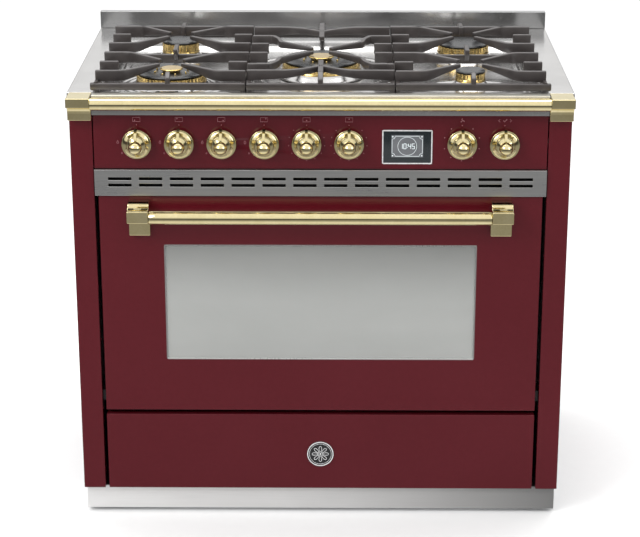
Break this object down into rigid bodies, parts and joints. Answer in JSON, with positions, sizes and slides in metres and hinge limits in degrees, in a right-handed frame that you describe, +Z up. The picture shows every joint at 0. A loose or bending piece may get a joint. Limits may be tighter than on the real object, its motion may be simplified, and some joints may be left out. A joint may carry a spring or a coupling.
{
  "type": "freestanding gas range",
  "caption": "Freestanding range cooker: gas hob with cast-iron pan grates over one wide oven with a drop-down glazed door, knob panel with clock, and a storage drawer below.",
  "frame": {"origin": "on the floor, under the middle of the overall width and depth", "axes": "+Z up, +X to the right seen from the front, the front faces -Y"},
  "size_m": [0.9, 0.611, 0.857],
  "materials": {
    "enamel": "glossy enamel",
    "steel": "brushed and polished stainless steel",
    "brass": "polished",
    "cast_iron": "matt enamelled",
    "black_enamel": "satin enamel",
    "cavity_enamel": "grey enamel",
    "glass": "clear, lightly tinted",
    "dark_glass": "dark glass, glossy",
    "galvanised": "galvanised sheet",
    "chrome": "bright wire",
    "black_plastic": "moulded"
  },
  "bodies": {
    "range": {"side_panel_left": "enamel", "side_panel_right": "enamel", "control_panel": "enamel", "hob_top": "steel", "rear_upstand": "steel", "vent_strip": "steel", "plinth": "steel", "fan_cover": "steel", "front_rail": "brass", "corner_block_left": "brass", "corner_block_right": "brass", "burner_front_left": "brass", "burner_rear_left": "brass", "burner_centre": "brass", "burner_rear_right": "brass", "burner_front_right": "brass", "front_frame": "black_enamel", "oven_cavity": "cavity_enamel", "clock_display": "dark_glass", "back_panel": "galvanised", "base_frame": "galvanised", "gas_manifold": "galvanised", "hinge_left": "galvanised", "hinge_right": "galvanised", "rack_guide_left": "chrome", "rack_guide_right": "chrome", "grill_element": "chrome", "terminal_box": "black_plastic"},
    "door": {"door_outer_panel": "enamel", "door_inner_panel": "steel", "door_glass_outer": "glass", "door_glass_inner": "glass", "door_handle_bar": "brass", "handle_bracket_left": "brass", "handle_bracket_right": "brass"},
    "drawer": {"drawer_front": "enamel", "drawer_box": "galvanised", "drawer_badge": "dark_glass"},
    "fan": {"convection_fan": "steel"},
    "rack": {"oven_rack": "chrome"},
    "knob_front_left": {"knob_front_left": "brass"},
    "knob_rear_left": {"knob_rear_left": "brass"},
    "knob_front_right": {"knob_front_right": "brass"},
    "knob_rear_right": {"knob_rear_right": "brass"},
    "knob_centre_inner": {"knob_centre_inner": "brass"},
    "knob_centre_outer": {"knob_centre_outer": "brass"},
    "knob_oven_function": {"knob_oven_function": "brass"},
    "knob_oven_heat": {"knob_oven_heat": "brass"},
    "cap_front_left": {"burner_cap_front_left": "black_enamel"},
    "cap_rear_left": {"burner_cap_rear_left": "black_enamel"},
    "cap_centre": {"burner_cap_centre": "black_enamel"},
    "cap_rear_right": {"burner_cap_rear_right": "black_enamel"},
    "cap_front_right": {"burner_cap_front_right": "black_enamel"},
    "grate_left": {"grate_left": "cast_iron"},
    "grate_centre": {"grate_centre": "cast_iron"},
    "grate_right": {"grate_right": "cast_iron"},
    "foot_front_left": {"foot_front_left": "black_plastic"},
    "foot_front_right": {"foot_front_right": "black_plastic"},
    "foot_rear_left": {"foot_rear_left": "black_plastic"},
    "foot_rear_right": {"foot_rear_right": "black_plastic"}
  },
  "joints": [
    {"name": "door_hinge", "type": "hinge", "parent": "range", "child": "door", "pos_m": [0, -0.2345, 0.2413], "axis": [1, 0, 0], "range_deg": [0, 90]},
    {"name": "drawer_slide", "type": "slide", "parent": "range", "child": "drawer", "axis": [0, -1, 0], "range_m": [0, 0.27]},
    {"name": "fan_spin", "type": "hinge", "parent": "range", "child": "fan", "pos_m": [0, 0.1955, 0.4437], "axis": [0, -1, 0], "continuous": true},
    {"name": "rack_slide", "type": "slide", "parent": "range", "child": "rack", "axis": [0, -1, 0], "range_m": [0, 0.018]},
    {"name": "knob_front_left_turn", "type": "hinge", "parent": "range", "child": "knob_front_left", "pos_m": [-0.327, -0.2545, 0.732], "axis": [0, -1, 0], "range_deg": [0, 145]},
    {"name": "knob_rear_left_turn", "type": "hinge", "parent": "range", "child": "knob_rear_left", "pos_m": [-0.2515, -0.2545, 0.732], "axis": [0, -1, 0], "range_deg": [0, 145]},
    {"name": "knob_front_right_turn", "type": "hinge", "parent": "range", "child": "knob_front_right", "pos_m": [-0.176, -0.2545, 0.732], "axis": [0, -1, 0], "range_deg": [0, 145]},
    {"name": "knob_rear_right_turn", "type": "hinge", "parent": "range", "child": "knob_rear_right", "pos_m": [-0.1, -0.2545, 0.732], "axis": [0, -1, 0], "range_deg": [0, 145]},
    {"name": "knob_centre_inner_turn", "type": "hinge", "parent": "range", "child": "knob_centre_inner", "pos_m": [-0.0245, -0.2545, 0.732], "axis": [0, 1, 0], "range_deg": [0, 310]},
    {"name": "knob_centre_outer_turn", "type": "hinge", "parent": "range", "child": "knob_centre_outer", "pos_m": [0.051, -0.2545, 0.732], "axis": [0, 1, 0], "range_deg": [0, 310]},
    {"name": "knob_oven_function_turn", "type": "hinge", "parent": "range", "child": "knob_oven_function", "pos_m": [0.252, -0.2545, 0.732], "axis": [0, 1, 0], "continuous": true},
    {"name": "knob_oven_heat_turn", "type": "hinge", "parent": "range", "child": "knob_oven_heat", "pos_m": [0.3276, -0.2545, 0.732], "axis": [0, 1, 0], "continuous": true},
    {"name": "lift_grate_left", "type": "slide", "parent": "range", "child": "grate_left", "axis": [0, 0, 1], "range_m": [0, 0.1]},
    {"name": "lift_grate_centre", "type": "slide", "parent": "range", "child": "grate_centre", "axis": [0, 0, 1], "range_m": [0, 0.1]},
    {"name": "lift_grate_right", "type": "slide", "parent": "range", "child": "grate_right", "axis": [0, 0, 1], "range_m": [0, 0.1]},
    {"name": "lift_cap_front_left", "type": "slide", "parent": "range", "child": "cap_front_left", "axis": [0, 0, 1], "range_m": [0, 0.002]},
    {"name": "lift_cap_rear_left", "type": "slide", "parent": "range", "child": "cap_rear_left", "axis": [0, 0, 1], "range_m": [0, 0.002]},
    {"name": "lift_cap_centre", "type": "slide", "parent": "range", "child": "cap_centre", "axis": [0, 0, 1], "range_m": [0, 0.002]},
    {"name": "lift_cap_rear_right", "type": "slide", "parent": "range", "child": "cap_rear_right", "axis": [0, 0, 1], "range_m": [0, 0.002]},
    {"name": "lift_cap_front_right", "type": "slide", "parent": "range", "child": "cap_front_right", "axis": [0, 0, 1], "range_m": [0, 0.002]},
    {"name": "level_foot_front_left", "type": "hinge", "parent": "range", "child": "foot_front_left", "pos_m": [-0.3918, -0.1945, 0.02], "axis": [0, 0, 1], "continuous": true},
    {"name": "level_foot_front_right", "type": "hinge", "parent": "range", "child": "foot_front_right", "pos_m": [0.3918, -0.1945, 0.02], "axis": [0, 0, 1], "continuous": true},
    {"name": "level_foot_rear_left", "type": "hinge", "parent": "range", "child": "foot_rear_left", "pos_m": [-0.3918, 0.2255, 0.02], "axis": [0, 0, 1], "continuous": true},
    {"name": "level_foot_rear_right", "type": "hinge", "parent": "range", "child": "foot_rear_right", "pos_m": [0.3918, 0.2255, 0.02], "axis": [0, 0, 1], "continuous": true}
  ]
}
